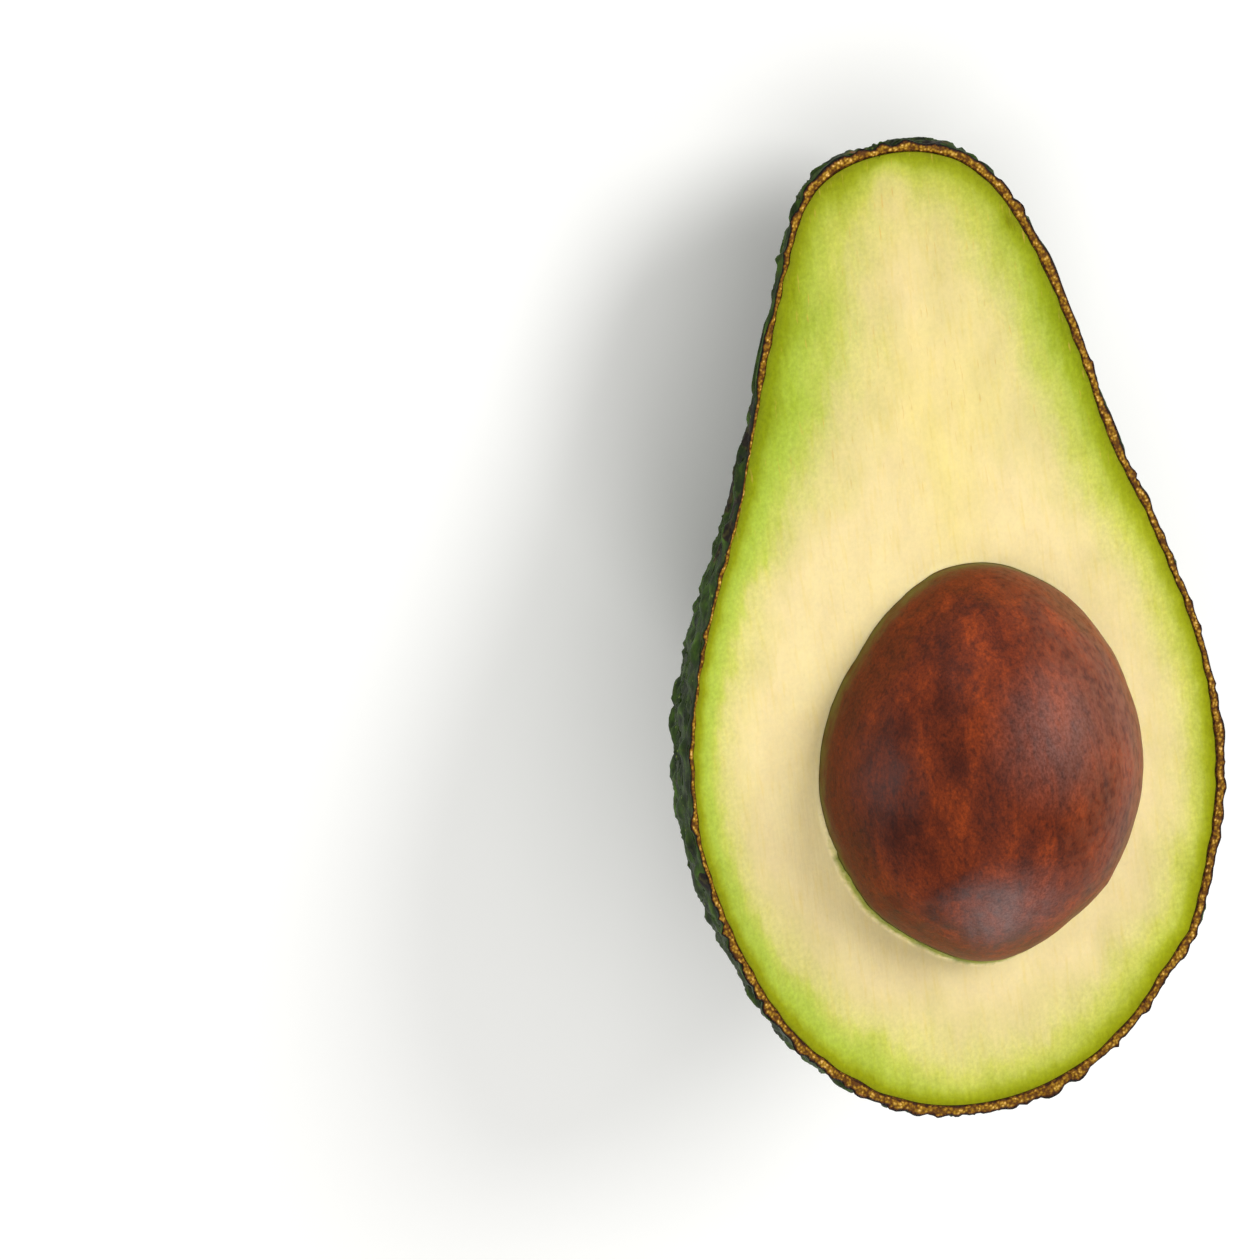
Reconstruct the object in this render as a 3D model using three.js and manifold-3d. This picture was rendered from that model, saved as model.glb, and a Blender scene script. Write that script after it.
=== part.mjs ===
// Half of an avocado, cut lengthwise, with the pit still seated in its flesh.
// Three pieces come apart: the peel, a thin leathery bowl; the flesh inside it; and the whole pit.
// Millimetres, +Z up. The half lies on its back, cut face up, and its stem end points along +Y.
// The origin is on the surface it rests on, below the middle of the half's bounding box.
import * as THREE from "three";
import { mergeVertices } from "three/addons/utils/BufferGeometryUtils.js";
import Module from "manifold-3d";

const wasm = await Module();
wasm.setup();

// The fruit's outline, from the blunt end up to the stem end. Stations are measured along its axis.
const FRUIT_LENGTH = 120;
const BELLY_RADIUS = 34.4;
const BELLY_STATION = 43.2;
const WAIST_RADIUS = 24.1;
const WAIST_TO_STEM_END = 37;
const WAIST_SLOPE = 0.27;
// How far each bend of the outline reaches: longer is flatter at the ends and fuller at the belly.
const BLUNT_END_REACH = 22.7;
const BELLY_REACH_BELOW = 20.7;
const BELLY_REACH_ABOVE = 17.2;
const WAIST_REACH_BELOW = 12;
const WAIST_REACH_ABOVE = 20.9;
const STEM_END_REACH = 16.3;

const PEEL_THICKNESS = 1.2;
const CLEARANCE = 0.3;

// The pit is an egg with a blunt point towards the fruit's blunt end. Its widest place lies on the cut.
const PIT_RADIUS = 19.7;
const PIT_POINTED_LENGTH = 24.6;
const PIT_ROUND_LENGTH = 23.4;
const PIT_STATION = 43.6;
const PIT_SIDE_OFFSET = 2.6;
const PIT_POINTED_REACH = 7;
const PIT_ROUND_REACH = 9;
const PIT_SIDE_REACH = 12.6;

// The stem's scar is a shallow round dimple on the stem end, just behind the cut.
const SCAR_RADIUS = 3;
const SCAR_DEPTH = 0.6;
const SCAR_BELOW_CUT = 4.2;

// The peel is pressed flat where the half rests, by this much at the middle of the spot.
const SPOT_DEPTH = 0.4;

const FRUIT_SIDES = 56;
const FRUIT_STEPS_PER_BEND = 12;
const PIT_SIDES = 36;
const PIT_STEPS_PER_BEND = 11;
const SCAR_SIDES = 20;

const point = (x, y) => new THREE.Vector2(x, y);

// The fruit's outer outline, as points from the blunt pole to the stem pole.
function fruitOutline(stepsPerBend) {
  const waistStation = FRUIT_LENGTH - WAIST_TO_STEM_END;
  const lean = point(-WAIST_SLOPE, 1).normalize();
  const waist = point(WAIST_RADIUS, waistStation);
  const belowWaist = waist.clone().addScaledVector(lean, -WAIST_REACH_BELOW);
  const aboveWaist = waist.clone().addScaledVector(lean, WAIST_REACH_ABOVE);
  const outline = new THREE.Path().moveTo(0, 0);
  outline.bezierCurveTo(
    BLUNT_END_REACH, 0, BELLY_RADIUS, BELLY_STATION - BELLY_REACH_BELOW, BELLY_RADIUS, BELLY_STATION,
  );
  outline.bezierCurveTo(
    BELLY_RADIUS, BELLY_STATION + BELLY_REACH_ABOVE, belowWaist.x, belowWaist.y, waist.x, waist.y,
  );
  outline.bezierCurveTo(
    aboveWaist.x, aboveWaist.y, STEM_END_REACH, FRUIT_LENGTH, 0, FRUIT_LENGTH,
  );
  return outline.getPoints(stepsPerBend);
}

// The pit's outline, as points from its pointed pole to its round pole, about the middle of the pit.
function pitOutline(stepsPerBend) {
  const outline = new THREE.Path().moveTo(0, -PIT_POINTED_LENGTH);
  outline.bezierCurveTo(
    PIT_POINTED_REACH, -PIT_POINTED_LENGTH, PIT_RADIUS, -PIT_SIDE_REACH, PIT_RADIUS, 0,
  );
  outline.bezierCurveTo(
    PIT_RADIUS, PIT_SIDE_REACH, PIT_ROUND_REACH, PIT_ROUND_LENGTH, 0, PIT_ROUND_LENGTH,
  );
  return outline.getPoints(stepsPerBend);
}

// An outline moved along its own normals, outwards where the distance is positive. Its ends stay on the axis.
function offsetOutline(points, distance) {
  const last = points.length - 1;
  return points.map((here, i) => {
    const along = points[Math.min(i + 1, last)].clone().sub(points[Math.max(i - 1, 0)]);
    if (i === 0 || i === last) along.set(i === 0 ? 1 : -1, 0);
    const outwards = point(along.y, -along.x).normalize();
    const moved = here.clone().addScaledVector(outwards, distance);
    if (i === 0 || i === last) moved.x = 0;
    return moved;
  });
}

// A closed three.js geometry as a solid that can be joined and cut.
function solidOf(geometry) {
  const bare = geometry.clone();
  bare.deleteAttribute("normal");
  bare.deleteAttribute("uv");
  const merged = mergeVertices(bare, 1e-4);
  return new wasm.Manifold(
    new wasm.Mesh({
      numProp: 3,
      vertProperties: new Float32Array(merged.attributes.position.array),
      triVerts: new Uint32Array(merged.index.array),
    }),
  );
}

function geometryOf(solid) {
  const mesh = solid.getMesh();
  const geometry = new THREE.BufferGeometry();
  geometry.setAttribute("position", new THREE.BufferAttribute(mesh.vertProperties, 3));
  geometry.setIndex(new THREE.BufferAttribute(mesh.triVerts, 1));
  geometry.computeVertexNormals();
  return geometry;
}

const outerOutline = fruitOutline(FRUIT_STEPS_PER_BEND);

// The whole fruit turned about its axis, this far under its outer skin.
function fruitBelowSkin(depth) {
  return solidOf(new THREE.LatheGeometry(offsetOutline(outerOutline, -depth), FRUIT_SIDES));
}

function pitGrownBy(distance) {
  const outline = offsetOutline(pitOutline(PIT_STEPS_PER_BEND), distance);
  return solidOf(
    new THREE.LatheGeometry(outline, PIT_SIDES).translate(PIT_SIDE_OFFSET, PIT_STATION, 0),
  );
}

// Everything on the kept side of the knife's cut, which is the plane z = 0 in the fruit's own frame.
function belowTheCut() {
  const side = 2 * FRUIT_LENGTH;
  return solidOf(new THREE.BoxGeometry(side, 2 * side, side).translate(0, 0, -side / 2));
}

function makeFlesh() {
  return fruitBelowSkin(PEEL_THICKNESS + CLEARANCE)
    .intersect(belowTheCut())
    .subtract(pitGrownBy(CLEARANCE));
}

// The ball that scoops the stem's scar, centred on the stem end's own normal through the scar.
function scarScoop() {
  const ballRadius = (SCAR_RADIUS ** 2 + SCAR_DEPTH ** 2) / (2 * SCAR_DEPTH);
  const crown = fruitOutline(200);
  const at = crown.findLast((p) => p.x >= SCAR_BELOW_CUT);
  const next = crown[crown.indexOf(at) + 1];
  const outwards = point(next.y - at.y, at.x - next.x).normalize();
  const centre = at.clone().addScaledVector(outwards, ballRadius - SCAR_DEPTH);
  return solidOf(
    new THREE.SphereGeometry(ballRadius, 2 * SCAR_SIDES, SCAR_SIDES).translate(0, centre.y, -centre.x),
  );
}

function makePeelBowl() {
  return fruitBelowSkin(0)
    .subtract(fruitBelowSkin(PEEL_THICKNESS))
    .intersect(belowTheCut())
    .subtract(scarScoop());
}

// The centre of mass of solids that all weigh the same for their size, from their signed tetrahedra.
function centreOfMass(solids) {
  const sum = new THREE.Vector3();
  let volume = 0;
  for (const solid of solids) {
    const { vertProperties: v, triVerts } = solid.getMesh();
    const corner = (k) => new THREE.Vector3().fromArray(v, 3 * triVerts[k]);
    for (let i = 0; i < triVerts.length; i += 3) {
      const [a, b, c] = [corner(i), corner(i + 1), corner(i + 2)];
      const share = a.dot(b.clone().cross(c)) / 6;
      volume += share;
      sum.addScaledVector(a.add(b).add(c), share / 4);
    }
  }
  return sum.divideScalar(volume);
}

// The half settles with the part of its back that is nearest its centre of mass straight below it.
function footOf(centre) {
  const keel = fruitOutline(200).map((p) => new THREE.Vector3(0, p.y, -p.x));
  return keel.reduce((near, p) => (p.distanceTo(centre) < near.distanceTo(centre) ? p : near));
}

// Everything past the flat spot, at right angles to the way the half's weight presses on its foot.
function belowTheSpot(foot, pitch) {
  const side = FRUIT_LENGTH;
  const block = new THREE.BoxGeometry(side, side, side).translate(0, 0, SPOT_DEPTH - side / 2);
  return solidOf(block.rotateX(pitch).translate(foot.x, foot.y, foot.z));
}

function piece(name, solid, material) {
  const mesh = new THREE.Mesh(geometryOf(solid), material);
  mesh.name = name;
  return mesh;
}

const peelMaterial = new THREE.MeshStandardMaterial({ color: 0x24401a, roughness: 0.3, metalness: 0 });
const fleshMaterial = new THREE.MeshStandardMaterial({ color: 0xe3dd86, roughness: 0.45, metalness: 0 });
const pitMaterial = new THREE.MeshStandardMaterial({ color: 0x6b2e14, roughness: 0.5, metalness: 0 });

const bowl = makePeelBowl();
const flesh = makeFlesh();
const pit = pitGrownBy(0);

const centre = centreOfMass([bowl, flesh, pit]).setX(0);
const foot = footOf(centre);
const pitch = Math.atan2(foot.y - centre.y, centre.z - foot.z);
const peel = bowl.subtract(belowTheSpot(foot, pitch));

const half = new THREE.Group();
half.add(
  piece("peel", peel, peelMaterial),
  piece("flesh", flesh, fleshMaterial),
  piece("pit", pit, pitMaterial),
);
half.rotation.x = -pitch;

// The group is set down with its flat spot at height 0, below the middle of its bounding box.
half.updateMatrixWorld(true);
const box = new THREE.Box3().setFromObject(half, true);
const middle = box.getCenter(new THREE.Vector3());
half.position.set(-middle.x, -middle.y, -box.min.z);

const avocado = new THREE.Group();
avocado.add(half);

export default avocado;
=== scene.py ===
"""Half an avocado, cut lengthwise, lying on its back with the pit still in it.

Three pieces are modelled in the fruit's own frame, in millimetres: stations run along +Y from the blunt end to the
stem end, and the knife's cut is the plane z = 0. One matrix then tips them back and sets them down in the row's frame.
"""

import math

import bmesh
import bpy
from bpy.props import FloatProperty, FloatVectorProperty, IntProperty, PointerProperty
from mathutils import Matrix, Vector, geometry, kdtree, noise
from mathutils.bvhtree import BVHTree


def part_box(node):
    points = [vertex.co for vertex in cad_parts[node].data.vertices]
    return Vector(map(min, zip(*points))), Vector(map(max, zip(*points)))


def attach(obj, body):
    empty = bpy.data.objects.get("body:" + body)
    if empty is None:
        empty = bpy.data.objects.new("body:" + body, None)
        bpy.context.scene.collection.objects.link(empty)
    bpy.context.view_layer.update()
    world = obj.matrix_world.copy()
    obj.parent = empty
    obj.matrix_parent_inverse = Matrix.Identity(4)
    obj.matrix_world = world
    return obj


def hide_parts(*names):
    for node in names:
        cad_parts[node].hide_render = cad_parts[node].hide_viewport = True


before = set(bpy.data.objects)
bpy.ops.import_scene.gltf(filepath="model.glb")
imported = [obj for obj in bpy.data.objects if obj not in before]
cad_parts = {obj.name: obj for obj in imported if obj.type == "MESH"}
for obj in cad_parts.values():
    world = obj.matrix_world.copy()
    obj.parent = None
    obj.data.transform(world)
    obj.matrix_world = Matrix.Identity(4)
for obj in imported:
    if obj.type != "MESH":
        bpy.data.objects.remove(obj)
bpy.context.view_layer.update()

bl_info = {
    "name": "Halved Avocado",
    "version": (1, 0, 0),
    "blender": (4, 5, 0),
    "location": "View3D > Sidebar > Avocado",
    "description": "Builds half an avocado with its peel, flesh and pit",
    "category": "Add Mesh",
}

# The half balances with its stem end low. These are the tilt and the place of its blunt pole, in the row's frame.
PITCH = math.radians(12.473)
BLUNT_POLE = Vector((0.0, -58.218, 43.95))
TO_ROW = Matrix.Scale(0.001, 4) @ Matrix.Translation(BLUNT_POLE) @ Matrix.Rotation(-PITCH, 4, "X")

LENGTH = 120.0
QUARTER = math.pi / 2


def srgb(text):
    """A hex colour such as #c7d96a, as linear red, green, blue and an alpha of 1."""
    parts = [int(text[i : i + 2], 16) / 255 for i in (1, 3, 5)]
    return (*[c / 12.92 if c <= 0.04045 else ((c + 0.055) / 1.055) ** 2.4 for c in parts], 1.0)


def colour(name, description, hex_value):
    return FloatVectorProperty(
        name=name, description=description, subtype="COLOR", size=4, min=0, max=1, default=srgb(hex_value)
    )


def millimetres(name, description, value, low=0.0, high=500.0):
    return FloatProperty(name=name, description=description + ", in mm", default=value, min=low, max=high)


# ---------------------------------------------------------------- sizes and colours


class PeelSettings(bpy.types.PropertyGroup):
    step: millimetres("Mesh step", "Spacing of the skin's mesh", 0.47, 0.2, 3)
    thickness: millimetres("Thickness", "How thick the peel is on average", 1.1, 0.4, 3)
    bump_width: millimetres("Bump width", "Width of one bump of the pebbled skin", 3.2, 1, 8)
    bump_stretch: FloatProperty(
        name="Bump stretch", description="Length of a bump over its width", default=1.25, min=1, max=4
    )
    bump_height: millimetres("Bump height", "Height of a bump above the creases round it", 0.75, 0, 1.5)
    ridge_height: millimetres("Ridge height", "Height of the fine ridges that run along the fruit", 0.32, 0, 1)
    skin: colour("Skin", "Green of the bumps", "#283f0a")
    skin_deep: colour("Deep skin", "Green down in the creases", "#0f1904")
    speck: colour("Speck", "Breathing pores of the skin", "#7b8f36")
    scab: colour("Scab", "Corky, brown-black scabs", "#1d140d")
    # The palest gold of the cut edge is partly a painted highlight on its moist grains.
    edge_gold_and_glint: colour("Cut edge, light", "Light grains of the peel where the knife went through", "#f4c676")
    edge_brown: colour("Cut edge, dark", "Dark ground between those grains", "#613a06")


class FleshSettings(bpy.types.PropertyGroup):
    step: millimetres("Mesh step", "Spacing of the mesh along the cut edge", 0.6, 0.3, 3)
    rings: IntProperty(name="Rings", description="Rings of faces from the peel to the pit", default=72, min=8, max=200)
    gap: millimetres("Gap", "Room left between the flesh and its neighbours", 0.06, 0, 0.5)
    lip: millimetres("Lip", "How high torn flesh clings to the pit", 1.0, 0, 3)
    rim: colour("Rim", "Green right beside the peel", "#8e9204")
    light_green: colour("Light green", "Green a few millimetres further in", "#c3ca52")
    cream: colour("Cream", "Body of the flesh", "#f9e6a9")
    yellow: colour("Yellow", "Yellow above the pit and by the stem", "#f2e08c")
    cling: colour("Clinging flesh", "Thin torn flesh that clings to the pit", "#8b9238")


class PitSettings(bpy.types.PropertyGroup):
    radius: millimetres("Radius", "Radius at its widest", 19.7, 5, 40)
    pointed: millimetres("Pointed end", "From its widest place to its pointed end", 24.6, 5, 50)
    blunt: millimetres("Round end", "From its widest place to its round end", 23.4, 5, 50)
    station: millimetres("Station", "Its widest place, from the fruit's blunt pole", 43.6)
    aside: millimetres("Aside", "How far its axis lies to the right of the fruit's", 2.6, -10, 10)
    brown: colour("Brown", "Ground of the seed coat", "#5c2007")
    russet: colour("Russet", "Mottles of the seed coat", "#953a09")
    umber: colour("Umber", "Dark veins of the seed coat", "#431405")
    film: colour("Film", "Thin flesh left on the pit beside the cut", "#573616")


class StageSettings(bpy.types.PropertyGroup):
    leftward: FloatProperty(
        name="Camera leftward", description="Camera's turn to the left of the cut's normal",
        subtype="ANGLE", default=math.radians(19.0),
    )
    stemward: FloatProperty(
        name="Camera stemward", description="Camera's turn from the cut's normal towards the stem end",
        subtype="ANGLE", default=math.radians(15.5),
    )
    roll: FloatProperty(
        name="Camera roll", description="Camera's turn about its own line of sight",
        subtype="ANGLE", default=math.radians(-7.712),
    )
    distance: FloatProperty(
        name="Camera distance", description="From the cut to the camera", subtype="DISTANCE", unit="LENGTH",
        default=1.6,
    )
    width: FloatProperty(
        name="View width", description="Width of the view at the cut", subtype="DISTANCE", unit="LENGTH",
        default=0.14843,
    )
    floor: colour("Floor", "White acrylic sheet", "#fafaf8")
    glow: FloatProperty(name="Floor glow", description="Light that comes up through the floor", default=0.1, min=0, max=1)


# ---------------------------------------------------------------- outlines, in mm: x is the radius, y the station


def evenly(points, step):
    """The same line with its points the given step apart, or as near to it as fits."""
    lengths = [0.0]
    for a, b in zip(points, points[1:]):
        lengths.append(lengths[-1] + (b - a).length)
    count = round(lengths[-1] / step)
    result, i = [points[0].copy()], 0
    for k in range(1, count):
        want = lengths[-1] * k / count
        while lengths[i + 1] < want:
            i += 1
        part = (want - lengths[i]) / (lengths[i + 1] - lengths[i])
        result.append(points[i].lerp(points[i + 1], part))
    return result + [points[-1].copy()]


def bends(*curves):
    """Points along curves that meet end to end, each given by its four control points."""
    points = []
    for curve in curves:
        ends = [Vector((x, y, 0.0)) for x, y in curve]
        points += geometry.interpolate_bezier(*ends, 400)[1 if points else 0 :]
    return points


def fruit_outline(step):
    waist, lean = Vector((24.1, 83.0)), Vector((-0.27, 1.0)).normalized()
    below, above = waist - lean * 12.0, waist + lean * 20.9
    return evenly(
        bends(
            ((0, 0), (22.7, 0), (34.4, 22.5), (34.4, 43.2)),
            ((34.4, 43.2), (34.4, 60.4), below, waist),
            (waist, above, (16.3, LENGTH), (0, LENGTH)),
        ),
        step,
    )


def pit_outline(pit, step):
    return evenly(
        bends(
            ((0, -pit.pointed), (7.0, -pit.pointed), (pit.radius, -12.6), (pit.radius, 0)),
            ((pit.radius, 0), (pit.radius, 12.6), (9.0, pit.blunt), (0, pit.blunt)),
        ),
        step,
    )


def outward(points, i):
    """The outline's outward direction at one of its points."""
    last = len(points) - 1
    if i in (0, last):
        return Vector((0, -1 if i == 0 else 1, 0))
    along = points[i + 1] - points[i - 1]
    return Vector((along.y, -along.x, 0)).normalized()


def turned(radius, station, angle):
    """A point at this radius and station, this far round the fruit from the right side of the cut through its back."""
    return Vector((radius * math.cos(angle), station, -radius * math.sin(angle)))


def sway(station):
    """How far the real fruit's axis wanders sideways: no avocado is quite straight."""
    s = (station - 60) / 60
    return 0.36 * (s * s - 1) - 1.11 * (s**3 - s) - 4.5 * (s**4 - s * s) - 0.22 * math.sin(4.712 * s) * (1 - s * s)


def ease(low, high, value):
    """0 below low, 1 above high, and smooth between."""
    t = min(1.0, max(0.0, (value - low) / (high - low)))
    return t * t * (3 - 2 * t)


def between(table, value):
    """Reads a table of rows, each starting with where it holds, at any value between them."""
    for a, b in zip(table, table[1:]):
        if value <= b[0]:
            t = max(0.0, (value - a[0]) / (b[0] - a[0]))
            return [x + (y - x) * t for x, y in zip(a[1:], b[1:])]
    return list(table[-1][1:])


# ---------------------------------------------------------------- meshes


def finished(bm, name, materials, node):
    """Sets a mesh down in the row's frame as an object that stands for a node of the frame."""
    bmesh.ops.remove_doubles(bm, verts=bm.verts, dist=1e-4)
    bmesh.ops.recalc_face_normals(bm, faces=bm.faces)
    bmesh.ops.transform(bm, matrix=TO_ROW, verts=bm.verts)
    for vert in bm.verts:
        vert.co.z = max(vert.co.z, 0.0)
    for face in bm.faces:
        face.smooth = True
    mesh = bpy.data.meshes.new(name)
    bm.to_mesh(mesh)
    bm.free()
    piece = bpy.data.objects.new(name, mesh)
    bpy.context.scene.collection.objects.link(piece)
    for material in materials:
        mesh.materials.append(material)
    low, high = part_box(node)
    corners = [Vector(c) for c in piece.bound_box]
    for axis in range(3):
        reach = (min(c[axis] for c in corners) - low[axis], max(c[axis] for c in corners) - high[axis])
        if max(abs(r) for r in reach) > 0.002:
            raise RuntimeError(f"{name} isn't where its frame node {node} is: {reach} along axis {axis}")
    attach(piece, "root")
    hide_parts(node)
    return piece


def next_ring(bm, edges):
    """Extrudes a closed ring of edges. Returns the new ring's vertices, edges and the faces between."""
    made = bmesh.ops.extrude_edge_only(bm, edges=edges)["geom"]
    verts = [g for g in made if isinstance(g, bmesh.types.BMVert)]
    faces = [g for g in made if isinstance(g, bmesh.types.BMFace)]
    fresh = set(verts)
    ring = [g for g in made if isinstance(g, bmesh.types.BMEdge) and all(v in fresh for v in g.verts)]
    return verts, ring, faces


def off_pole(station):
    """0 at the fruit's two ends, 1 from 4 mm on."""
    return ease(0.0, 4.0, min(station, LENGTH - station))


def relief(radius, along, angle, peel):
    """The skin's height at a place, in mm, and how far up a bump that place is, from 0 in a crease to 1 on top."""
    calm = 0.35 + 0.65 * ease(0.0, 0.35, min(angle, math.pi - angle))
    stem = ease(98, 128, along)
    width = peel.bump_width * (1 - 0.3 * stem)
    around = max(radius, 9.0 * stem) / width
    place = Vector((around * math.cos(angle), along / (width * peel.bump_stretch * (1 + stem)), around * math.sin(angle)))
    place += 0.45 * noise.noise_vector(place * 0.8)
    distances, cells = noise.voronoi(place)
    crest = ease(0.0, 0.62, distances[1] - distances[0])
    share = noise.cell(cells[0] * 7.3) * 0.5 + 0.5
    ridge = 1 - 2.4 * abs(noise.noise(place * 2.1 + Vector((4.7, 0, 0))))
    fine = noise.fractal(place * 3.9, 0.9, 2.0, 2)
    bump = peel.bump_height * (crest * (0.50 + 0.52 * share) - 0.5)
    return bump + calm * (peel.ridge_height * (ridge - 0.35) + 0.09 * fine), crest


def scabs(place):
    """How much of a corky scab covers a place on the skin: small round ones all over, and a few wide patches."""
    distances, cells = noise.voronoi(place / 8.5)
    size = 0.05 + 0.16 * max(0.0, noise.cell(cells[0] * 5.1))
    ragged = 0.05 * noise.noise(place / 0.8)
    small = 1 - ease(size, size + 0.07, distances[0] + ragged)
    if noise.cell(cells[0] * 3.7) < -0.25:
        small = 0.0
    wide = ease(0.42, 0.62, noise.noise(place / 13.0 + Vector((3.1, 7.7, 1.3))) + 0.25 * noise.noise(place / 2.2))
    beside_cut = 1 - ease(6.0, 15.0, (place - Vector((-26.0, 84.0, -3.0))).length)
    wide = max(wide, beside_cut * ease(-0.15, 0.3, noise.noise(place / 3.0)))
    return max(small, 0.8 * wide)


# How thick the peel is where the knife went through it, on the left and on the right of the cut, by station.
CUT_THICKNESS = (
    (0, 1.6, 1.6), (10, 1.4, 1.5), (25, 1.1, 1.5), (40, 0.85, 1.4), (52, 0.75, 1.2), (62, 0.75, 1.1), (75, 0.75, 1.3),
    (95, 0.75, 1.3), (107, 0.9, 1.5), (114, 1.2, 1.5), (120, 1.55, 1.55),
)
# How far the real outline stays within the smooth one by the cut, on the left and on the right: no fruit is even.
CUT_TRIM = (
    (0, -0.2, -0.2), (7, 0.1, 0.3), (11, 0.0, 0.5), (16, 0.0, -0.4), (24, 0.4, 0.0), (33, 0.5, -0.25), (41, 0.3, -0.25),
    (50, 0.5, -0.2), (62, 0.55, 0.0), (70, 0.6, -0.4), (79, 0.85, -0.25), (87, 0.85, -0.35), (95, 1.0, 0.0),
    (102, 1.15, 0.2), (108, 1.1, 0.1), (113, 0.6, -0.2), (117, -0.2, -0.5), (120, -0.45, -0.45),
)
# How much the skin falls away under the left of the cut, by station.
LEFT_FLANK = ((0, 0.0), (30, 0.0), (50, 0.4), (65, 0.9), (78, 1.4), (90, 1.6), (112, 1.6), (120, 0.8))


def peel_depth(station, sideways, peel):
    """How far in the flesh begins, from the skin, sideways from -1 on the left of the cut to 1 on its right."""
    left, right = between(CUT_THICKNESS, station)
    depth = (left + (right - left) * (0.5 + 0.5 * sideways)) * peel.thickness / 1.1
    return depth + 0.20 * off_pole(station) * noise.noise(Vector((station / 1.9, sideways * 3, 5.0)))


def trim(station, sideways, down):
    """How far inside the smooth outline the skin lies, down being the angle from the cut round to the back."""
    left, right = between(CUT_TRIM, station)
    share = abs(sideways) ** 1.5
    by_cut = (left if sideways < 0 else right) * share + (left + right) / 2 * (1 - off_pole(station)) * (1 - share)
    flank = between(LEFT_FLANK, station)[0] if sideways < 0 else 0.0
    return by_cut + flank * (ease(0.0, 0.38, down) - ease(0.5, 1.4, down))


def make_peel(peel, materials):
    outline = fruit_outline(peel.step)
    # The bumps are warped by noise that draws on the module's own seed, which would otherwise come from the clock.
    noise.seed_set(7)
    bm = bmesh.new()
    row, side, across, crest_of, scab_of, scar_of = (
        bm.verts.layers.float.new(name) for name in ("row", "side", "across", "crest", "scab", "scar")
    )
    line = [bm.verts.new(p) for p in outline]
    for i, vert in enumerate(line):
        vert[row] = i
    edges = [bm.edges.new(pair) for pair in zip(line, line[1:])]
    steps = round(math.pi * 34.4 / peel.step)
    bmesh.ops.spin(
        bm, geom=line + edges, cent=(0, 0, 0), axis=(0, 1, 0), angle=math.pi, steps=steps, use_merge=False
    )
    bmesh.ops.remove_doubles(bm, verts=bm.verts, dist=1e-4)

    # The skin's relief, the pucker and scar at the stem end, and the slow unevenness of a grown thing.
    scar = turned(4.2, 119.4, QUARTER)
    for vert in bm.verts:
        i = round(vert[row])
        radius = outline[i].x
        angle = math.atan2(-vert.co.z, vert.co.x) if radius > 1e-6 else QUARTER
        flat = outward(outline, i)
        out = Vector((flat.x * math.cos(angle), flat.y, -flat.x * math.sin(angle)))
        height, vert[crest_of] = relief(radius, i * peel.step, angle, peel)
        vert[scab_of] = scabs(vert.co)
        away = (vert.co - scar).length
        spokes = math.sin(11 * math.atan2(vert.co.x, vert.co.z - scar.z) + 1.5 * noise.noise(vert.co / 3))
        height = height * (1 - 0.6 * ease(0, 5, 9 - away)) + 0.2 * noise.noise(vert.co / 11.0)
        height += 0.22 * spokes * ease(2.6, 4.5, away) * (1 - ease(7.0, 15.0, away))
        height -= 0.8 * ease(0.0, 1.4, 3.3 - away) + 0.35 * ease(0.0, 5.0, 8.5 - away)
        height -= 0.12 * vert[scab_of] * (1 + noise.noise(vert.co / 0.7))
        vert[scar_of] = ease(0.0, 1.2, 3.2 - away)
        down = min(angle, math.pi - angle)
        vert.co += out * (height - trim(outline[i].y, math.cos(angle), down))
        vert.co.x += sway(outline[i].y)
        if abs(math.sin(angle)) < 1e-5:
            vert.co.z = 0.0
            vert[side] = 1.0 if math.cos(angle) > 0 else -1.0

    # The cut through the peel, from the skin to the flesh, then the inner surface down to the keel.
    ring = [e for e in bm.edges if e.is_boundary]
    start = {}
    for edge in ring:
        for vert in edge.verts:
            start[(round(vert[row]), vert[side])] = vert.co.copy()
    across_steps, down_steps = 5, 12
    for k in range(1, across_steps + down_steps + 1):
        verts, ring, faces = next_ring(bm, ring)
        t = min(1.0, k / across_steps)
        angle = QUARTER * max(0, k - across_steps) / down_steps
        for face in faces:
            face.material_index = 1 if k <= across_steps else 0
        for vert in verts:
            i, s = round(vert[row]), vert[side]
            station, sideways = outline[i].y, s * math.cos(angle)
            inward = trim(station, sideways, angle) + peel_depth(station, sideways, peel)
            inside = outline[i] - outward(outline, i) * inward
            end = turned(inside.x, inside.y, angle)
            end.x = end.x * s + sway(inside.y)
            vert.co = start[(i, s)].lerp(end, t)
            if k < across_steps:
                vert.co.z += 0.09 * noise.fractal(vert.co / 0.8, 0.8, 2.0, 3) + 0.14 * math.sin(math.pi * t)
            vert[across] = t
    return finished(bm, "peel_skin", materials, "peel")


def soft_spot(place, x, y, width, length):
    """1 in the middle of an oval on the cut, 0 outside it."""
    return 1 - ease(0.25, 1.0, math.hypot((place.x - x) / width, (place.y - y) / length))


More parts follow.
